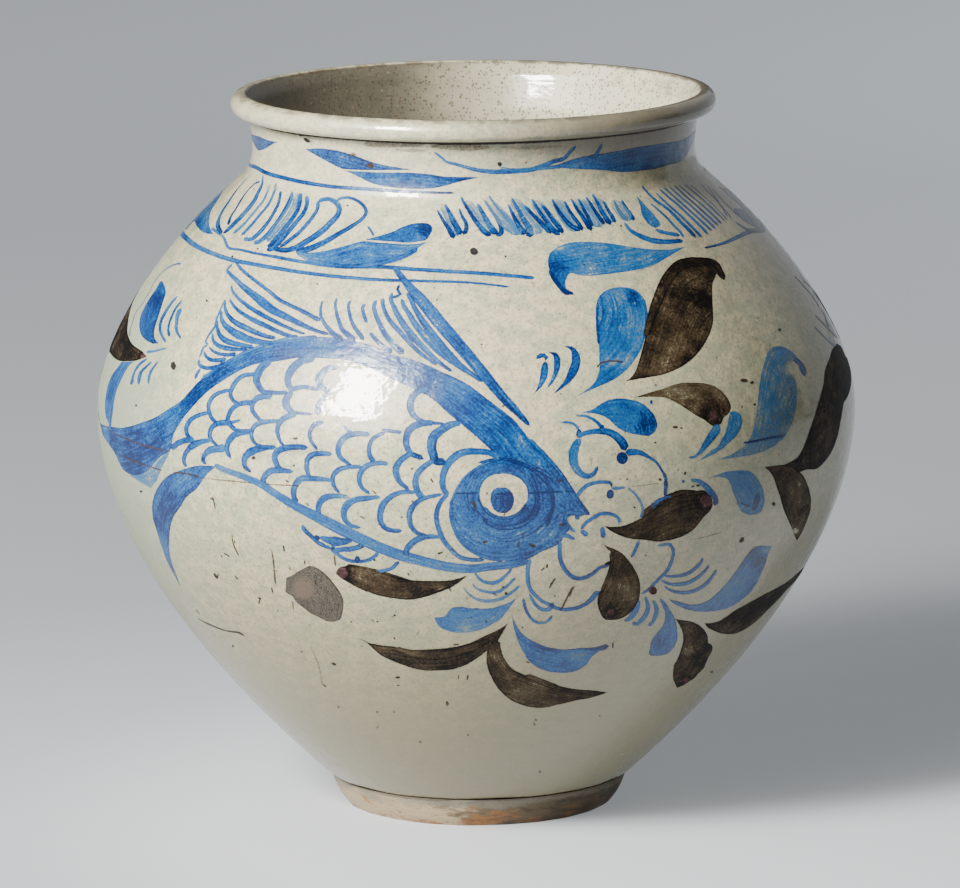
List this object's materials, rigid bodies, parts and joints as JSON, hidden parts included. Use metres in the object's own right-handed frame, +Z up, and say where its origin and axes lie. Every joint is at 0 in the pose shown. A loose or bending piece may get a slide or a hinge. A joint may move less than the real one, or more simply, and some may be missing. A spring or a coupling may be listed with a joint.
{
  "type": "storage jar",
  "caption": "Large thrown stoneware storage jar: narrow bare foot, wide shouldered belly, short concave neck and thick rolled lip.",
  "frame": {"origin": "on the jar's axis, on the surface that the foot stands on", "axes": "+Z up along the jar's axis; -Y faces the viewer of the picture and +X is to that viewer's right"},
  "size_m": [0.4544, 0.4544, 0.43],
  "materials": {
    "glaze": "glossy greenish-cream glaze with painted blue and iron-brown brushwork",
    "bare_clay": "matt unglazed fired clay with rusty patches"
  },
  "bodies": {
    "root": {"foot_ring": "bare_clay", "floor_disc": "glaze", "lower_wall": "glaze", "upper_wall": "glaze", "neck": "glaze", "rim_roll": "glaze"}
  },
  "joints": []
}
